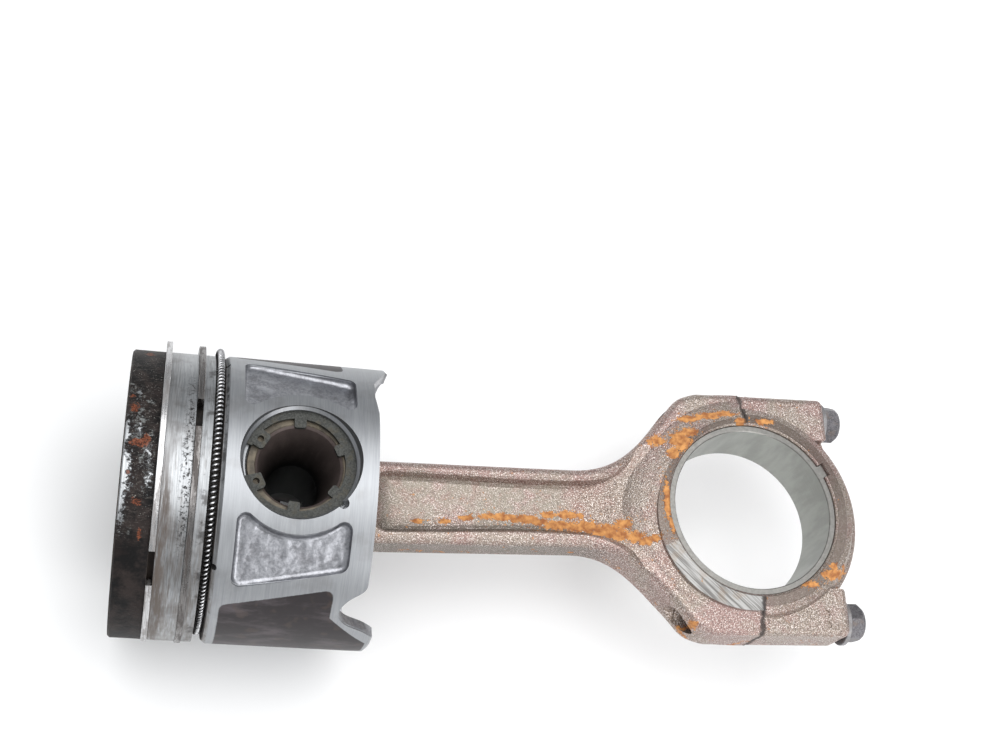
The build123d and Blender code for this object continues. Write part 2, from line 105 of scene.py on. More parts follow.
class Paint:
    """A material being built. Every call takes numbers, colours or sockets, and returns a socket."""

    def __init__(self, name):
        self.material = bpy.data.materials.new(name)
        self.material.use_nodes = True
        self.nodes = self.material.node_tree.nodes
        self.links = self.material.node_tree.links
        self.shader = self.nodes["Principled BSDF"]
        self.object_place = self.node("ShaderNodeTexCoord").outputs["Object"]

    def node(self, kind, **settings):
        made = self.nodes.new(kind)
        for key, value in settings.items():
            setattr(made, key, value)
        return made

    def feed(self, socket, value):
        if isinstance(value, bpy.types.NodeSocket):
            self.links.new(value, socket)
        else:
            socket.default_value = value

    def math(self, operation, first, second=0.0, third=0.0):
        made = self.node("ShaderNodeMath", operation=operation)
        for socket, value in zip(made.inputs, (first, second, third)):
            self.feed(socket, value)
        return made.outputs[0]

    def add(self, first, second):
        return self.math("ADD", first, second)

    def less(self, first, second):
        return self.math("SUBTRACT", first, second)

    def times(self, first, second):
        return self.math("MULTIPLY", first, second)

    def most(self, *values):
        result = values[0]
        for value in values[1:]:
            result = self.math("MAXIMUM", result, value)
        return result

    def size(self, value):
        """The value without its sign."""
        return self.math("ABSOLUTE", value)

    def reach(self, first, second):
        """Length of the vector with these two parts."""
        return self.math("SQRT", self.add(self.times(first, first), self.times(second, second)))

    def turn(self, across, along):
        """Angle in degrees, 0 on the along direction, positive towards across."""
        return self.math("DEGREES", self.math("ARCTAN2", across, along))

    def rise(self, value, low, high, kind="SMOOTHSTEP"):
        """0 below low, 1 above high."""
        made = self.node("ShaderNodeMapRange", interpolation_type=kind)
        self.feed(made.inputs["Value"], value)
        self.feed(made.inputs["From Min"], low)
        self.feed(made.inputs["From Max"], high)
        return made.outputs[0]

    def ramp(self, value, from_low, from_high, to_low, to_high):
        """Straight line from to_low at from_low to to_high at from_high, level beyond both."""
        made = self.node("ShaderNodeMapRange")
        self.feed(made.inputs["Value"], value)
        made.inputs["From Min"].default_value = from_low
        made.inputs["From Max"].default_value = from_high
        made.inputs["To Min"].default_value = to_low
        made.inputs["To Max"].default_value = to_high
        return made.outputs[0]

    def fall(self, value, low, high):
        """1 below low, 0 above high."""
        return self.less(1.0, self.rise(value, low, high))

    def between(self, value, low, high, soft=0.15):
        """1 from low to high and 0 outside, with edges this soft."""
        above = self.rise(value, low - soft, low + soft)
        return self.times(above, self.fall(value, high - soft, high + soft))

    def mixed(self, amount, first, second):
        """The first colour where amount is 0, the second where it is 1."""
        made = self.node("ShaderNodeMix", data_type="RGBA")
        self.feed(made.inputs[0], amount)
        self.feed(made.inputs[6], first)
        self.feed(made.inputs[7], second)
        return made.outputs[2]

    def stained(self, base, where, strength, tone):
        """The base colour, with the tone laid over it where the mask says, at this strength."""
        return self.mixed(self.times(where, strength), base, tone)

    def level(self, amount, first, second):
        """The same for plain values."""
        made = self.node("ShaderNodeMix", data_type="FLOAT")
        self.feed(made.inputs[0], amount)
        self.feed(made.inputs[2], first)
        self.feed(made.inputs[3], second)
        return made.outputs[0]

    def vector(self, x, y, z):
        made = self.node("ShaderNodeCombineXYZ")
        for socket, value in zip(made.inputs, (x, y, z)):
            self.feed(socket, value)
        return made.outputs[0]

    def parts(self, vector):
        made = self.node("ShaderNodeSeparateXYZ")
        self.feed(made.inputs[0], vector)
        return made.outputs[0], made.outputs[1], made.outputs[2]

    def scaled(self, vector, scale):
        made = self.node("ShaderNodeVectorMath", operation="MULTIPLY")
        self.feed(made.inputs[0], vector)
        made.inputs[1].default_value = scale
        return made.outputs[0]

    def noise(self, vector, feature, detail=3.0, rough=0.55):
        """Soft noise around 0.5 whose blotches are about feature millimetres across."""
        made = self.node("ShaderNodeTexNoise")
        self.feed(made.inputs["Vector"], vector)
        made.inputs["Scale"].default_value = 1.0 / feature
        made.inputs["Detail"].default_value = detail
        made.inputs["Roughness"].default_value = rough
        return made.outputs["Fac"]

    def swing(self, noise, amount):
        """The noise moved to swing about 0, and scaled."""
        return self.times(self.less(noise, 0.5), amount)

    def cells(self, vector, feature):
        """Distance from the middle of irregular cells about feature millimetres across."""
        made = self.node("ShaderNodeTexVoronoi")
        self.feed(made.inputs["Vector"], vector)
        made.inputs["Scale"].default_value = 1.0 / feature
        return made.outputs["Distance"]

    def spots(self, across, along, places):
        """1 in the middle of each (across, along, half width, half length) spot, 0 at its edge."""
        here = self.vector(across, along, 0.0)
        fields = []
        for x, y, half_x, half_y in places:
            offset = self.node("ShaderNodeVectorMath", operation="SUBTRACT")
            self.feed(offset.inputs[0], here)
            offset.inputs[1].default_value = (x, y, 0.0)
            shaped = self.scaled(offset.outputs[0], (1 / half_x, 1 / half_y, 0.0))
            length = self.node("ShaderNodeVectorMath", operation="LENGTH")
            self.feed(length.inputs[0], shaped)
            fields.append(self.less(1.0, length.outputs["Value"]))
        return self.most(*fields)

    def in_mm(self, shift=(0.0, 0.0, 0.0), rotate=0.0):
        """The surface point in millimetres, turned about Z and then shifted."""
        made = self.node("ShaderNodeMapping", vector_type="POINT")
        self.feed(made.inputs["Vector"], self.object_place)
        made.inputs["Scale"].default_value = (1000.0, 1000.0, 1000.0)
        made.inputs["Rotation"].default_value = (0.0, 0.0, rotate)
        made.inputs["Location"].default_value = shift
        return made.outputs[0]

    def at_piston(self):
        """Place measured from the pin's middle, X along the cylinder towards the skirt's end."""
        return self.in_mm(shift=tuple(-pin))

    def at_rod(self):
        """Place measured from the journal centre, X along the rod towards the cap."""
        return self.in_mm(rotate=-rod_swing)

    def bump(self, height, depth):
        """Raises the surface by up to depth millimetres where height is 1."""
        made = self.node("ShaderNodeBump")
        made.inputs["Strength"].default_value = 1.0
        made.inputs["Distance"].default_value = depth * metre
        self.feed(made.inputs["Height"], height)
        return made.outputs[0]

    def finish(self, colour, roughness, metallic, normal=None):
        self.feed(self.shader.inputs["Base Color"], colour)
        self.feed(self.shader.inputs["Roughness"], roughness)
        self.feed(self.shader.inputs["Metallic"], metallic)
        if normal is not None:
            self.feed(self.shader.inputs["Normal"], normal)
        return self.material


# On the top land: places along the cylinder and round it, each with its two half sizes.
band_rubs = (
    (-48.6, -7.0, 5.0, 11.0), (-48.4, -15.0, 3.2, 10.0), (-48.2, 3.0, 2.6, 7.0),
)
faint_rubs = (
    (-40.4, -9.0, 1.6, 7.0), (-40.8, -3.0, 1.4, 6.0), (-44.0, 5.0, 2.4, 3.6), (-45.0, 17.0, 1.6, 4.0),
)
ash_places = (
    (-44.5, 6.0, 4.0, 7.0), (-43.0, 14.0, 3.0, 5.0), (-46.0, 20.0, 2.5, 4.0), (-41.5, -3.0, 2.6, 14.0),
    (-45.5, -22.0, 2.2, 4.0),
)
land_rust = (
    (-45.6, 11.6, 1.4, 1.9), (-43.6, 0.8, 3.0, 1.7), (-41.9, 2.2, 1.3, 1.8), (-42.9, -15.2, 1.5, 1.3),
    (-45.8, -7.5, 0.8, 0.8), (-46.4, 15.5, 0.8, 0.9), (-41.4, -24.0, 0.7, 1.8), (-43.0, 40.0, 1.5, 2.4),
)


def turning_lines(paint, here, pitch=0.35):
    """Fine lines that run round the cylinder, as a lathe leaves them."""
    return paint.noise(paint.scaled(here, (1.0, 0.035, 0.035)), pitch, detail=2.0, rough=0.7)


def bare_land(paint, lines):
    """Clean turned metal of the ring lands."""
    return paint.mixed(paint.rise(lines, 0.3, 0.7), shade(138, 140, 142), shade(166, 168, 170))


def top_land(paint, here, axial, arc, lines, blotch, speck, slow):
    """Baked carbon with ash and rust, rubbed bare along the crown's edge: (colour, bare mask)."""
    scratch = paint.noise(paint.scaled(here, (0.5, 1.6, 1.0)), 0.8, detail=3.0, rough=0.8)
    grit = paint.noise(here, 0.45, detail=2.0)

    faint = paint.times(paint.spots(axial, arc, faint_rubs), 0.35)
    rubbed = paint.most(paint.spots(axial, arc, band_rubs), faint)
    rubbed = paint.add(rubbed, paint.swing(speck, 1.6))
    rubbed = paint.add(rubbed, paint.swing(blotch, 0.9))
    rubbed = paint.rise(rubbed, 0.16, 0.40)
    flakes = paint.times(paint.rise(speck, 0.65, 0.70), paint.rise(blotch, 0.50, 0.62))
    flakes = paint.times(flakes, paint.rise(arc, -30.0, -16.0))
    bright_marks = paint.most(rubbed, flakes)

    soot = paint.mixed(paint.rise(blotch, 0.38, 0.66), shade(11, 10, 11), shade(44, 37, 35))
    soot = paint.stained(soot, paint.rise(slow, 0.48, 0.62), 0.5, shade(36, 27, 25))
    greyed = paint.times(paint.rise(scratch, 0.52, 0.70), paint.rise(arc, -34.0, -12.0))
    soot = paint.stained(soot, greyed, 0.45, shade(104, 98, 92))
    ash = paint.rise(paint.noise(here, 1.9, detail=5.0, rough=0.75), 0.52, 0.60)
    ash = paint.times(ash, paint.rise(scratch, 0.42, 0.56))
    ash = paint.times(ash, paint.rise(paint.spots(axial, arc, ash_places), 0.0, 0.4))
    soot = paint.stained(soot, ash, 0.8, shade(128, 131, 130))
    glints = paint.times(paint.rise(grit, 0.66, 0.70), paint.rise(arc, -30.0, -8.0))
    soot = paint.stained(soot, glints, 0.8, shade(150, 148, 142))
    colour = paint.mixed(bright_marks, soot, bare_land(paint, lines))

    rust = paint.add(paint.spots(axial, arc, land_rust), paint.swing(speck, 2.6))
    rust = paint.add(rust, paint.times(paint.less(ash, 0.2), -0.3))
    rust = paint.rise(rust, 0.15, 0.60)
    rust_tone = paint.mixed(paint.rise(grit, 0.35, 0.65), shade(58, 30, 22), shade(128, 72, 48))
    colour = paint.stained(colour, rust, 0.85, rust_tone)
    return colour, paint.times(bright_marks, paint.less(1.0, rust))


def lower_lands(paint, axial, arc, lines, blotch, speck, slow, streak):
    """Lacquer beside the top ring and carbon specks beside the second: (colour, clean mask)."""
    band_end = paint.add(-34.0, paint.swing(slow, 6.0))
    band = paint.fall(paint.less(axial, band_end), -1.2, 0.8)
    band = paint.times(band, paint.level(paint.rise(arc, -16.0, 2.0), 1.0, 0.30))
    lacquer = paint.times(band, paint.rise(streak, 0.22, 0.58))
    runs = paint.times(paint.rise(streak, 0.56, 0.66), 0.35)
    colour = bare_land(paint, lines)
    colour = paint.stained(colour, paint.most(lacquer, runs), 0.85, shade(74, 62, 54))
    colour = paint.stained(colour, paint.rise(slow, 0.54, 0.66), 0.35, shade(88, 84, 82))
    warm = paint.times(paint.fall(arc, -34.0, -8.0), paint.rise(streak, 0.36, 0.60))
    colour = paint.stained(colour, warm, 0.5, shade(98, 88, 80))

    away = paint.rise(paint.size(paint.less(axial, second_ring_x)), 0.0, 2.6)
    pepper = paint.times(paint.rise(speck, 0.52, 0.58), paint.less(1.0, away))
    pepper = paint.times(pepper, paint.between(arc, -28.0, 24.0, 6.0))
    colour = paint.mixed(pepper, colour, shade(26, 25, 26))
    on_third = paint.rise(axial, second_land_end, second_land_end + 1.8)
    dirt = paint.times(on_third, paint.rise(blotch, 0.50, 0.62))
    colour = paint.stained(colour, dirt, 0.7, shade(62, 59, 58))
    return colour, paint.less(1.0, paint.most(pepper, paint.times(lacquer, 0.6)))


def lands(paint, here, axial, arc):
    """All the ring lands: (colour, roughness, metallic, height, specular level)."""
    lines = turning_lines(paint, here, 0.3)
    blotch = paint.noise(here, 5.0, detail=5.0, rough=0.65)
    speck = paint.noise(here, 0.9, detail=4.0, rough=0.7)
    streak = paint.noise(paint.scaled(here, (1.0, 0.10, 0.10)), 0.8, detail=4.0, rough=0.65)
    slow = paint.noise(here, 11.0, detail=4.0, rough=0.6)
    top, top_bare = top_land(paint, here, axial, arc, lines, blotch, speck, slow)
    lower, lower_clean = lower_lands(paint, axial, arc, lines, blotch, speck, slow, streak)

    on_top = paint.fall(axial, top_land_end - 0.1, top_land_end + 0.1)
    colour = paint.mixed(on_top, lower, top)
    clean = paint.level(on_top, lower_clean, top_bare)
    roughness = paint.level(clean, 0.58, paint.add(0.25, paint.times(lines, 0.18)))
    metallic = paint.level(clean, 0.15, 1.0)
    crust = paint.times(on_top, paint.less(1.0, top_bare))
    crust = paint.times(crust, paint.add(paint.add(0.4, speck), paint.times(blotch, 0.8)))
    height = paint.add(crust, paint.times(lines, 0.12))
    shine = paint.level(paint.most(clean, paint.less(1.0, on_top)), 0.18, 0.5)
    return colour, roughness, metallic, height, shine


def coating(paint, axial, radius, angle, grain):
    """Where the thrust faces carry graphite: a panel that narrows round the oil-jet notch."""
    fold = paint.math("MINIMUM", paint.size(angle), paint.less(180.0, paint.size(angle)))
    edge_turn = paint.ramp(axial, coating_start, 10.0, 61.0, 51.0)
    edge_end = paint.ramp(fold, 65.0, 83.5, 12.3, 24.3)
    inside_turn = paint.times(paint.less(fold, edge_turn), mm_per_degree)
    inside_end = paint.less(edge_end, axial)
    inside_start = paint.less(axial, coating_start)
    inside = paint.math("SMOOTH_MIN", inside_turn, inside_end, 4.0)
    inside = paint.math("SMOOTH_MIN", inside, inside_start, 3.0)
    coated = paint.rise(paint.add(inside, paint.swing(grain, 0.5)), -0.1, 0.25)
    return paint.times(coated, paint.rise(radius, groove_r - 0.3, groove_r))


def aluminium_skin(paint, here, axial, across, radius, lines, grain, lump):
    """Bare aluminium, turned outside and as cast in the pockets and inside, the cast lumps painted
    lighter on their tops and darker in their hollows as highlight and shade: (colour, cast mask).
    """
    broad = turning_lines(paint, here, 1.6)
    stain = paint.noise(here, 9.0, detail=5.0)
    turned = paint.mixed(paint.rise(lines, 0.30, 0.70), shade(145, 147, 150), shade(157, 159, 162))
    turned = paint.stained(turned, paint.rise(broad, 0.45, 0.70), 0.22, shade(174, 176, 178))
    turned = paint.stained(turned, paint.rise(stain, 0.52, 0.68), 0.22, shade(112, 108, 106))

    cast = paint.mixed(paint.rise(grain, 0.30, 0.70), shade(134, 135, 139), shade(164, 165, 170))
    # painted highlight on the tops of the cast lumps and painted shade in their hollows, following the
    # lump bump
    cast = paint.stained(cast, paint.rise(lump, 0.54, 0.66), 0.4, shade(184, 185, 190))
    cast = paint.stained(cast, paint.fall(lump, 0.34, 0.46), 0.35, shade(104, 103, 106))
    pin_reach = paint.reach(axial, across)
    in_bore = paint.fall(pin_reach, pin_bevel_r - 0.1, pin_bevel_r + 0.1)
    sunk = paint.fall(radius, groove_r, groove_r + 0.3)
    past_rings = paint.rise(axial, oil_land_start - 0.2, oil_land_start + 0.1)
    is_cast = paint.times(paint.times(sunk, paint.less(1.0, in_bore)), past_rings)
    return paint.mixed(is_cast, turned, cast), is_cast


def burnt_crown(paint, here):
    """Soot on the crown and in its bowl, with paler flakes."""
    clouds = paint.noise(here, 9.0, detail=7.0, rough=0.78)
    burnt = paint.mixed(paint.rise(clouds, 0.36, 0.70), shade(26, 24, 24), shade(74, 68, 63))
    flaked = paint.rise(paint.noise(here, 1.6, detail=5.0, rough=0.75), 0.66, 0.70)
    return paint.mixed(flaked, burnt, shade(118, 112, 104))


def piston_aluminium():
    """Turned aluminium with cast pockets, carbon-blacked lands and graphite-coated thrust faces."""
    paint = Paint("piston_aluminium")
    here = paint.at_piston()
    axial, across, out = paint.parts(here)
    radius = paint.reach(across, out)
    angle = paint.turn(across, out)
    arc = paint.times(angle, mm_per_degree)
    lines = turning_lines(paint, here)
    grain = paint.noise(here, 0.8, detail=4.0, rough=0.7)
    lump = paint.noise(here, 4.0, detail=1.5)
    skin, is_cast = aluminium_skin(paint, here, axial, across, radius, lines, grain, lump)

    # graphite coating on both thrust faces, worn grey where it has run
    coated = coating(paint, axial, radius, angle, grain)
    rubbed = paint.noise(paint.scaled(here, (0.35, 1.0, 1.0)), 6.0, detail=6.0, rough=0.65)
    rubbed = paint.rise(rubbed, 0.46, 0.72)
    film = paint.mixed(rubbed, shade(42, 37, 39), shade(80, 73, 76))
    film = paint.stained(film, paint.rise(lump, 0.58, 0.70), 0.3, shade(82, 68, 60))
    skin = paint.mixed(coated, skin, film)

    # the ring belt, its grooves, and the crown with its bowl
    land_colour, land_rough, land_metal, land_height, land_shine = lands(paint, here, axial, arc)
    in_belt = paint.fall(axial, second_land_end, second_land_end + 0.1)
    oil_land = paint.between(axial, second_land_end, oil_land_start - 0.2, 0.05)
    inward = paint.fall(radius, groove_r - 0.1, groove_r + 0.1)
    in_groove = paint.times(paint.fall(axial, oil_land_start - 0.9, oil_land_start - 0.7), inward)
    carbon = paint.mixed(paint.rise(lump, 0.35, 0.65), shade(24, 22, 22), shade(58, 52, 48))
    crown = paint.fall(axial, crown_x + 0.25, crown_x + 0.45)
    bowl = paint.fall(radius, bowl_r - 0.2, bowl_r + 0.2)
    bowl = paint.times(bowl, paint.fall(axial, bowl_floor_x - 0.5, bowl_floor_x + 0.5))
    scorched = paint.most(crown, bowl)
    colour = paint.mixed(paint.most(in_belt, oil_land), skin, land_colour)
    colour = paint.mixed(in_groove, colour, carbon)
    colour = paint.mixed(scorched, colour, burnt_crown(paint, here))

    sooty = paint.most(in_groove, scorched)
    roughness = paint.level(is_cast, paint.add(0.34, paint.times(lines, 0.20)), 0.36)
    roughness = paint.level(coated, roughness, 0.50)
    roughness = paint.level(in_belt, roughness, land_rough)
    roughness = paint.level(sooty, roughness, 0.75)
    metallic = paint.level(coated, 1.0, 0.45)
    metallic = paint.level(in_belt, metallic, land_metal)
    metallic = paint.level(sooty, metallic, 0.0)

    cast_height = paint.add(paint.times(lump, 2.8), paint.times(grain, 0.3))
    height = paint.level(is_cast, paint.times(lines, 0.03), cast_height)
    height = paint.level(in_belt, height, land_height)
    height = paint.level(sooty, height, paint.add(lump, paint.times(grain, 0.8)))
    paint.feed(paint.shader.inputs["Specular IOR Level"], paint.level(in_belt, 0.5, land_shine))
    return paint.finish(colour, roughness, metallic, paint.bump(height, 0.16))


def carrier_iron():
    """The cast-iron insert round the top groove, machined flush with the lands."""
    paint = Paint("carrier_iron")
    here = paint.at_piston()
    axial, across, out = paint.parts(here)
    radius = paint.reach(across, out)
    arc = paint.times(paint.turn(across, out), mm_per_degree)
    colour, roughness, metallic, height, shine = lands(paint, here, axial, arc)
    groove = paint.fall(radius, groove_r - 0.1, groove_r + 0.1)
    soot = paint.mixed(paint.noise(here, 2.0), shade(20, 18, 18), shade(62, 50, 42))
    colour = paint.mixed(groove, colour, soot)
    roughness = paint.level(groove, roughness, 0.7)
    metallic = paint.level(groove, metallic, 0.1)
    paint.feed(paint.shader.inputs["Specular IOR Level"], shine)
    return paint.finish(colour, roughness, metallic, paint.bump(height, 0.16))


def piston_ring(name, light, dark, soil, soiled):
    """A piston ring: a polished running face and sides dulled by lacquer."""
    paint = Paint(name)
    here = paint.at_piston()
    lines = turning_lines(paint, here, 0.22)
    patch = paint.noise(paint.scaled(here, (1.0, 0.16, 0.16)), 1.6, detail=5.0, rough=0.65)
    speck = paint.noise(here, 0.7, detail=3.0)
    colour = paint.mixed(paint.rise(lines, 0.35, 0.65), dark, light)
    dirty = paint.times(paint.rise(paint.add(patch, paint.times(speck, 0.25)), 0.58, 0.74), soiled)
    colour = paint.mixed(dirty, colour, soil)
    roughness = paint.add(0.24, paint.times(dirty, 0.35))
    metallic = paint.level(dirty, 1.0, 0.35)
    height = paint.add(paint.times(lines, 0.3), speck)
    return paint.finish(colour, roughness, metallic, paint.bump(height, 0.03))


def spring_steel():
    """Plated spring wire, oily black between the coils."""
    paint = Paint("spring_steel")
    here = paint.at_piston()
    _, across, out = paint.parts(here)
    beyond = paint.reach(paint.less(across, expander_shift), out)
    crest = paint.rise(beyond, expander_r - 0.2, expander_r + 0.7)
    patch = paint.noise(here, 7.0, detail=4.0)
    grease = paint.mixed(patch, shade(40, 39, 40), shade(88, 85, 82))
    bright = paint.mixed(paint.rise(patch, 0.35, 0.65), shade(168, 168, 170), shade(220, 220, 222))
    colour = paint.mixed(crest, grease, bright)
    roughness = paint.level(crest, 0.55, 0.26)
    metallic = paint.level(crest, 0.5, 1.0)
    return paint.finish(colour, roughness, metallic, paint.bump(paint.noise(here, 0.4), 0.02))


def pin_steel():
    """Ground case-hardened pin, its ends tanned by oil, its hollow varnished dark brown at the mouth and
    painted darker towards the far end as shade.
    """
    paint = Paint("pin_steel")
    here = paint.at_piston()
    axial, across, out = paint.parts(here)
    reach = paint.reach(axial, across)
    angle = paint.turn(across, axial)
    blotch = paint.noise(here, 4.0, detail=5.0, rough=0.65)
    grit = paint.noise(here, 0.7, detail=3.0, rough=0.7)
    swept = paint.vector(paint.times(angle, 0.12), paint.times(out, 0.12), reach)
    sweep = paint.noise(swept, 1.6, detail=4.0)
    ground = paint.mixed(blotch, shade(140, 140, 140), shade(172, 172, 172))
    tan = paint.mixed(paint.rise(blotch, 0.35, 0.65), shade(62, 56, 47), shade(102, 93, 78))
    # painted shade in the hollow: the colour goes from brown varnish at the mouth to near black at the
    # far end
    depth = paint.rise(reach, pin_hollow_r, pin_mouth_r, "LINEAR")
    varnish_and_shade = paint.mixed(depth, shade(9, 8, 8), shade(94, 83, 80))
    swirls = paint.times(paint.times(paint.rise(sweep, 0.45, 0.7), 0.5), depth)
    varnish_and_shade = paint.mixed(swirls, varnish_and_shade, shade(108, 96, 92))
    varnish_and_shade = paint.stained(varnish_and_shade, paint.rise(grit, 0.62, 0.7), 0.5, shade(20, 18, 18))
    is_end = paint.rise(paint.size(out), pin_end - 0.1, pin_end + 0.1)
    outside = paint.rise(reach, pin_outer_r - 0.15, pin_outer_r + 0.15)
    colour = paint.mixed(outside, varnish_and_shade, ground)
    colour = paint.mixed(is_end, colour, tan)
    roughness = paint.level(outside, 0.48, 0.2)
    metallic = paint.level(outside, 0.35, 1.0)
    height = paint.add(paint.times(grit, 0.6), paint.times(sweep, 0.6))
    return paint.finish(colour, roughness, metallic, paint.bump(height, 0.06))


def clip_steel():
    """Phosphated spring clip, its green-grey coating granular and rubbed at the edges."""
    paint = Paint("clip_steel")
    here = paint.at_piston()
    grit = paint.noise(here, 0.45, detail=3.0, rough=0.7)
    patch = paint.noise(here, 3.0, detail=4.0)
    colour = paint.mixed(paint.rise(grit, 0.35, 0.65), shade(42, 43, 41), shade(75, 76, 73))
    colour = paint.stained(colour, paint.rise(patch, 0.52, 0.66), 0.4, shade(80, 74, 60))
    roughness = paint.add(0.42, paint.times(grit, 0.25))
    return paint.finish(colour, roughness, 0.55, paint.bump(grit, 0.07))


def bush_bronze():
    """Bored bronze bush with darker oil stains."""
    paint = Paint("bush_bronze")
    here = paint.at_piston()
    lines = paint.noise(paint.scaled(here, (0.05, 0.05, 1.0)), 0.3)
    patch = paint.noise(here, 4.0, detail=5.0)
    colour = paint.mixed(lines, shade(150, 112, 62), shade(196, 154, 92))
    colour = paint.mixed(paint.rise(patch, 0.5, 0.7), colour, shade(98, 74, 50))
    return paint.finish(colour, paint.add(0.3, paint.times(patch, 0.2)), 1.0, paint.bump(lines, 0.02))


# Where rust shows on the rod's front face, in millimetres along and across the rod: place, half sizes.
web_rust = (
    (-80.0, -2.7, 7.0, 1.2), (-72.0, -3.2, 5.0, 1.4), (-67.0, -4.0, 3.4, 1.3), (-64.4, -1.7, 2.4, 1.2),
    (-57.8, -1.5, 4.6, 1.4), (-61.0, -4.8, 6.0, 1.7), (-53.0, -5.2, 5.6, 2.1), (-46.6, -6.7, 4.8, 2.1),
    (-42.6, -8.2, 3.4, 1.9), (-38.4, -9.4, 3.0, 1.8), (-35.4, -10.8, 2.2, 1.4), (-41.4, -4.8, 2.6, 1.7),
    (-32.6, -10.0, 1.4, 1.2), (-90.0, -3.4, 2.4, 0.8), (-97.0, -4.6, 2.0, 0.7), (-105.0, -4.8, 2.2, 0.7),
)
eye_rust = (
    (-29.6, 22.0, 2.8, 2.0), (-22.0, 21.2, 3.2, 4.0), (-19.4, 24.4, 2.8, 1.8), (-25.0, 17.0, 1.9, 2.2),
    (-28.4, 1.5, 1.3, 6.4), (-27.4, -6.0, 1.1, 2.8), (-18.4, 29.5, 4.4, 1.2), (-12.2, 30.5, 4.6, 1.2),
    (-6.4, 31.3, 4.0, 1.0), (-1.8, 28.7, 1.7, 1.6), (5.6, 28.8, 3.4, 1.0), (16.0, -24.2, 3.0, 1.0),
    (23.4, -20.8, 3.4, 1.6), (27.0, -20.2, 2.6, 1.3), (24.4, -18.3, 1.9, 1.0), (29.4, -18.3, 1.5, 1.2),
    (-22.4, -36.4, 1.8, 1.2),
)


def blasted_skin(paint, here, along, across, out, shot, mid):
    """The forging's skin: pink-brown, greener on the web, with dark specks, white specks of painted
    glint, and painted shade along the lower side of the web.
    """
    sparkle = paint.noise(here, 0.30, detail=1.0)
    wide = paint.noise(here, 17.0, detail=4.0, rough=0.55)
    colour = paint.mixed(paint.rise(wide, 0.42, 0.58), shade(152, 126, 120), shade(148, 135, 124))
    web_face = paint.fall(paint.size(out), 3.6, 4.6)
    web_face = paint.times(web_face, paint.between(along, web_start, -58.0, 6.0))
    sides = paint.times(paint.fall(paint.size(out), 3.0, 8.5), paint.less(1.0, web_face))
    colour = paint.stained(colour, sides, 0.45, shade(118, 96, 84))
    web_face = paint.times(web_face, paint.rise(mid, 0.30, 0.52))
    colour = paint.stained(colour, web_face, 0.8, shade(144, 137, 125))
    colour = paint.stained(colour, paint.rise(mid, 0.50, 0.66), 0.45, shade(143, 112, 104))
    # painted shade: the web is painted darker along its lower side, next to the lower flange
    painted_web_shade = paint.times(paint.between(along, web_start, -46.0, 6.0), paint.fall(paint.size(out), 4.0, 6.0))
    painted_web_shade = paint.times(painted_web_shade, paint.fall(across, -8.0, -2.0))
    colour = paint.stained(colour, painted_web_shade, 0.6, shade(80, 72, 64))
    calm = paint.less(1.0, paint.times(web_face, 0.45))
    dark_specks = paint.times(paint.fall(shot, 0.36, 0.50), 0.65)
    colour = paint.mixed(paint.times(dark_specks, calm), colour, shade(66, 57, 54))
    # painted highlight: white glint specks scattered over the blasted skin, fewer on the web
    painted_glint = paint.times(paint.rise(sparkle, 0.57, 0.63), 0.85)
    return paint.mixed(paint.times(painted_glint, calm), colour, shade(232, 222, 216))


def rod_rust(paint, here, along, across, out, shot, mid):
    """Rust in the places above on the front and in scattered patches on the back: (mask, colour)."""
    ragged = paint.swing(paint.noise(here, 2.0, detail=5.0, rough=0.72), 2.6)
    ragged = paint.add(ragged, paint.swing(shot, 0.9))
    near_rust = paint.spots(along, across, web_rust + eye_rust)
    front = paint.rise(paint.add(near_rust, ragged), -0.06, 0.12)
    specks = paint.rise(paint.noise(here, 0.8, detail=2.0), 0.62, 0.67)
    specks = paint.times(specks, paint.rise(near_rust, -1.6, -0.5))
    front = paint.most(front, specks)
    front = paint.times(front, paint.rise(out, 0.0, 1.0))
    behind = paint.rise(paint.add(mid, paint.times(ragged, 0.10)), 0.615, 0.66)
    behind = paint.times(behind, paint.fall(out, -1.0, 0.0))
    freckle = paint.rise(paint.noise(here, 1.6, detail=3.0), 0.66, 0.70)
    freckle = paint.times(freckle, paint.rise(mid, 0.50, 0.58))
    tone = paint.rise(paint.noise(here, 1.8, detail=4.0), 0.3, 0.7)
    tone = paint.mixed(tone, shade(150, 92, 52), shade(210, 150, 88))
    return paint.most(front, behind, paint.times(freckle, 0.75)), tone


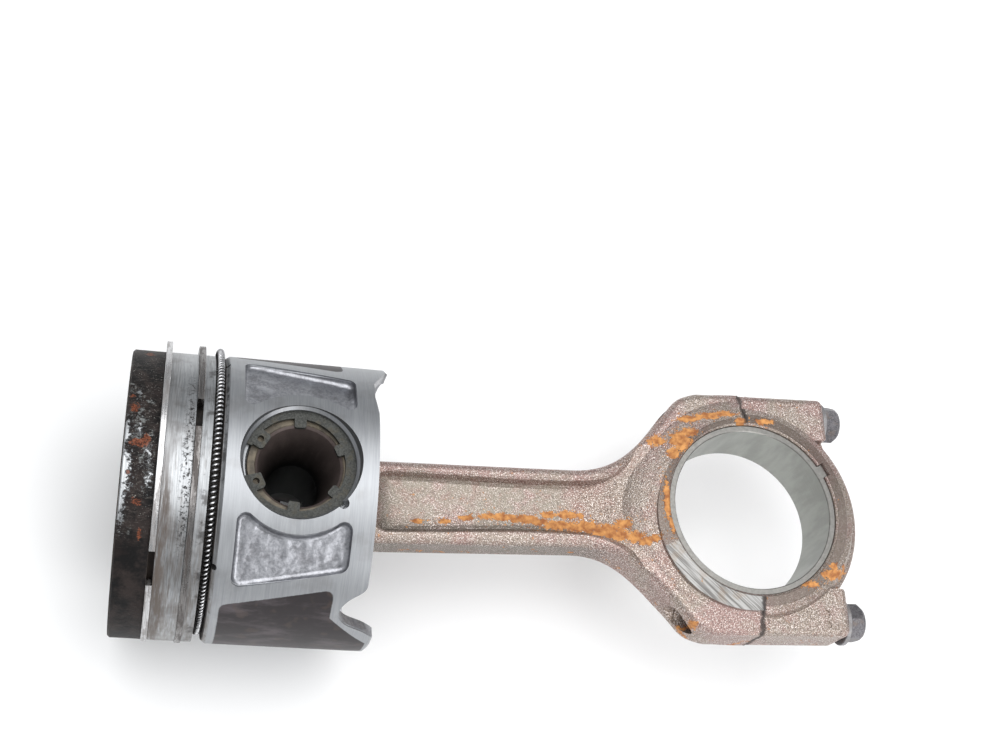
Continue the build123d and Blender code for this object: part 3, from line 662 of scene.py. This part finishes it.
def rod_forging():
    """Shot-blasted forging with orange rust, machined thrust faces and a cracked parting line."""
    paint = Paint("rod_forging")
    here = paint.at_rod()
    along, across, out = paint.parts(here)
    shot = paint.noise(here, 0.50, detail=3.0, rough=0.65)
    dent = paint.cells(here, 0.62)
    mid = paint.noise(here, 6.0, detail=5.0, rough=0.6)
    colour = blasted_skin(paint, here, along, across, out, shot, mid)
    rust, rust_tone = rod_rust(paint, here, along, across, out, shot, mid)

    # milled crescent on the front below the bore, with slanting cutter lines
    slanted = paint.vector(paint.add(along, across), paint.less(along, across), out)
    cutter = paint.noise(paint.scaled(slanted, (0.7, 0.03, 0.03)), 0.5, detail=2.0)
    milled = paint.between(paint.turn(across, along), -157.0, -90.0, 1.0)
    milled = paint.times(paint.rise(out, big_end_face - 0.15, big_end_face + 0.05), milled)
    bright = paint.mixed(paint.rise(cutter, 0.35, 0.65), shade(104, 102, 100), shade(160, 159, 157))
    bright = paint.stained(bright, paint.rise(mid, 0.5, 0.64), 0.3, shade(132, 112, 92))
    colour = paint.mixed(milled, colour, bright)

    # machined thrust faces, darker on the side away from the crescent
    thrust = paint.rise(paint.size(out), big_end_face, big_end_face + 0.15)
    thrust = paint.times(thrust, paint.less(1.0, milled))
    ground = paint.mixed(paint.noise(here, 1.2, detail=4.0), shade(78, 70, 65), shade(118, 108, 101))
    shaded = paint.times(paint.rise(across, -6.0, 14.0), 0.6)
    ground = paint.mixed(shaded, ground, shade(62, 53, 48))
    colour = paint.stained(colour, thrust, 0.8, ground)
    colour = paint.mixed(rust, colour, rust_tone)

    # dark, ragged line where the cap was cracked off the rod
    wander = paint.swing(paint.noise(here, 2.6, detail=4.0, rough=0.7), 2.6)
    crack = paint.fall(paint.size(paint.add(along, wander)), 0.3, 1.1)
    crack = paint.times(crack, paint.rise(paint.size(across), crack_start - 0.5, crack_start + 0.5))
    colour = paint.stained(colour, crack, 0.85, shade(44, 38, 36))

    machined = paint.most(milled, thrust)
    roughness = paint.level(machined, paint.add(0.34, paint.times(shot, 0.16)), 0.34)
    roughness = paint.level(paint.most(rust, crack), roughness, 0.85)
    metallic = paint.level(machined, 0.64, 0.85)
    metallic = paint.level(paint.most(rust, crack), metallic, 0.0)
    rough_skin = paint.add(paint.times(shot, 1.1), paint.times(dent, 0.9))
    height = paint.level(machined, rough_skin, paint.times(cutter, 0.35))
    height = paint.level(rust, height, paint.add(0.9, paint.times(shot, 0.35)))
    return paint.finish(colour, roughness, metallic, paint.bump(height, 0.10))


def bearing_alloy():
    """Steel-backed bearing shell: matte grey lining, wiped by the journal, bright sheared edges."""
    paint = Paint("bearing_alloy")
    here = paint.at_rod()
    along, across, out = paint.parts(here)
    reach = paint.reach(along, across)
    smear = paint.noise(paint.scaled(here, (1.0, 1.0, 0.25)), 5.0, detail=5.0, rough=0.6)
    lines = paint.noise(paint.scaled(here, (0.05, 0.05, 1.0)), 0.3, detail=2.0)
    lining = paint.mixed(paint.rise(smear, 0.36, 0.66), shade(142, 144, 139), shade(164, 166, 161))
    lining = paint.stained(lining, lines, 0.3, shade(178, 179, 174))
    edge = paint.rise(paint.size(out), shell_face - 0.1, shell_face + 0.1)
    backing = paint.mixed(paint.noise(here, 1.0, detail=4.0), shade(96, 95, 92), shade(148, 146, 142))
    is_back = paint.rise(reach, bearing_r - 0.2, bearing_r + 0.2)
    colour = paint.mixed(paint.most(edge, is_back), lining, backing)
    roughness = paint.level(edge, paint.add(0.36, paint.times(smear, 0.16)), 0.3)
    return paint.finish(colour, roughness, 0.8, paint.bump(lines, 0.02))


def bolt_steel():
    """Dark phosphated bolt, rubbed bright at the corners of its head."""
    paint = Paint("bolt_steel")
    here = paint.at_rod()
    grit = paint.noise(here, 0.5, detail=3.0, rough=0.65)
    patch = paint.noise(here, 3.5, detail=4.0)
    colour = paint.mixed(paint.rise(grit, 0.35, 0.65), shade(84, 82, 85), shade(122, 120, 123))
    colour = paint.stained(colour, paint.rise(patch, 0.52, 0.66), 0.4, shade(118, 100, 84))
    worn = paint.node("ShaderNodeNewGeometry").outputs["Pointiness"]
    worn = paint.times(paint.rise(worn, 0.53, 0.60), 0.6)
    colour = paint.mixed(worn, colour, shade(178, 176, 176))
    return paint.finish(colour, paint.add(0.36, paint.times(grit, 0.2)), 0.75, paint.bump(grit, 0.05))


def closed_coil(name, material):
    """The oil ring's expander: one wire coiled round a circle about the cylinder axis, as a mesh."""
    turns = round(2 * math.pi * expander_r / expander_pitch)
    steps = 12
    coil_r = expander_coil_r - expander_wire_r
    curve = bpy.data.curves.new(name, "CURVE")
    curve.dimensions = "3D"
    curve.bevel_depth = expander_wire_r * metre
    curve.bevel_resolution = 2
    wire = curve.splines.new("POLY")
    wire.points.add(turns * steps - 1)
    centre = pin + Vector((expander_x, expander_shift, 0.0))
    for index, point in enumerate(wire.points):
        round_loop = 2 * math.pi * index / (turns * steps)
        round_wire = 2 * math.pi * index / steps
        outward = Vector((0.0, math.sin(round_loop), math.cos(round_loop)))
        place = centre + outward * (expander_r + coil_r * math.cos(round_wire))
        place = place + Vector((coil_r * math.sin(round_wire), 0.0, 0.0))
        point.co = (*(place * metre), 1.0)
    wire.use_cyclic_u = True
    shape = bpy.data.objects.new(name, curve)
    mesh = bpy.data.meshes.new_from_object(shape)
    bpy.data.objects.remove(shape)
    bpy.data.curves.remove(curve)
    mesh.name = name
    mesh.materials.clear()
    mesh.materials.append(material)
    mesh.shade_smooth()
    coil = bpy.data.objects.new(name, mesh)
    bpy.context.scene.collection.objects.link(coil)
    return coil


def pale_floor(height):
    """A plain pale sheet at the height the model rests on."""
    half = 1.5
    corners = [(-half, -half, height), (half, -half, height), (half, half, height), (-half, half, height)]
    mesh = bpy.data.meshes.new("floor")
    mesh.from_pydata(corners, [], [(0, 1, 2, 3)])
    sheet = Paint("floor_paper")
    grain = sheet.noise(sheet.in_mm(), 60.0, detail=2.0)
    sheet.finish(sheet.mixed(grain, shade(246, 246, 246), shade(250, 250, 250)), 0.9, 0.0)
    mesh.materials.append(sheet.material)
    floor = bpy.data.objects.new("floor", mesh)
    bpy.context.scene.collection.objects.link(floor)


def soft_light(name, place, target, size, power):
    """A round area light at a place, aimed at a target, in metres and watts."""
    lamp = bpy.data.lights.new(name, "AREA")
    lamp.shape = "DISK"
    lamp.size = size
    lamp.energy = power
    holder = bpy.data.objects.new(name, lamp)
    bpy.context.scene.collection.objects.link(holder)
    holder.location = place
    holder.rotation_euler = (Vector(target) - Vector(place)).to_track_quat("-Z", "Y").to_euler()


def studio():
    """Even daylight with a large softbox above, a small lamp in it and a fill from the near side."""
    world = bpy.data.worlds.new("studio")
    bpy.context.scene.world = world
    world.use_nodes = True
    sky = world.node_tree.nodes["Background"]
    sky.inputs["Color"].default_value = (0.96, 0.98, 1.0, 1.0)
    sky.inputs["Strength"].default_value = 0.58
    middle = (-0.08, 0.0, 0.0)
    soft_light("softbox", (-0.10, 0.06, 0.90), middle, 1.20, 8.2)
    soft_light("lamp", (-0.02, 0.02, 0.80), middle, 0.24, 0.30)
    soft_light("near_fill", (0.30, -0.75, 0.45), middle, 0.60, 3.2)
    bpy.context.scene.view_settings.view_transform = "Standard"


def photo_camera():
    """The photograph's view: from above, leaning to the crown side and to the -Y side."""
    right = Vector((0.9727, 0.0, 0.2319))
    up = Vector((-0.0893, 0.9229, 0.3745))
    back = Vector((-0.2141, -0.3850, 0.8977))
    from_pin = Vector((-0.03965, -0.14083, 0.44048))
    camera = bpy.data.cameras.new("camera")
    camera.sensor_width = 36.0
    camera.lens = 55.5
    camera.clip_start = 0.01
    holder = bpy.data.objects.new("camera", camera)
    bpy.context.scene.collection.objects.link(holder)
    turned = Matrix((right, up, back)).transposed().to_4x4()
    holder.matrix_world = Matrix.Translation(pin * metre + from_pin) @ turned
    bpy.context.scene.camera = holder


steel_tones = (shade(198, 198, 199), shade(164, 163, 163), shade(92, 82, 76))
iron_tones = (shade(132, 130, 129), shade(96, 93, 92), shade(56, 48, 44))
finishes = {
    "piston": piston_aluminium(),
    "ring_carrier": carrier_iron(),
    "top_compression_ring": piston_ring("ring_steel", *steel_tones, 0.5),
    "second_compression_ring": piston_ring("ring_iron", *iron_tones, 0.75),
    "wrist_pin": pin_steel(),
    "small_end_bush": bush_bronze(),
}
forging = rod_forging()
lining = bearing_alloy()
bolt = bolt_steel()
clip = clip_steel()
wire = spring_steel()
finishes.update({"connecting_rod": forging, "rod_cap": forging})
finishes.update({"upper_bearing_shell": lining, "lower_bearing_shell": lining})
finishes.update({"cap_bolt_1": bolt, "cap_bolt_2": bolt})
finishes.update({"circlip_upper": clip, "circlip_lower": clip})
finishes["oil_ring_expander"] = wire
for node_name, material in finishes.items():
    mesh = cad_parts[node_name].data
    mesh.materials.clear()
    mesh.materials.append(material)

coil = closed_coil("expander_coil", wire)
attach(coil, "expander")
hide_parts("oil_ring_expander")

pale_floor(cad_box[0][2])
studio()
photo_camera()
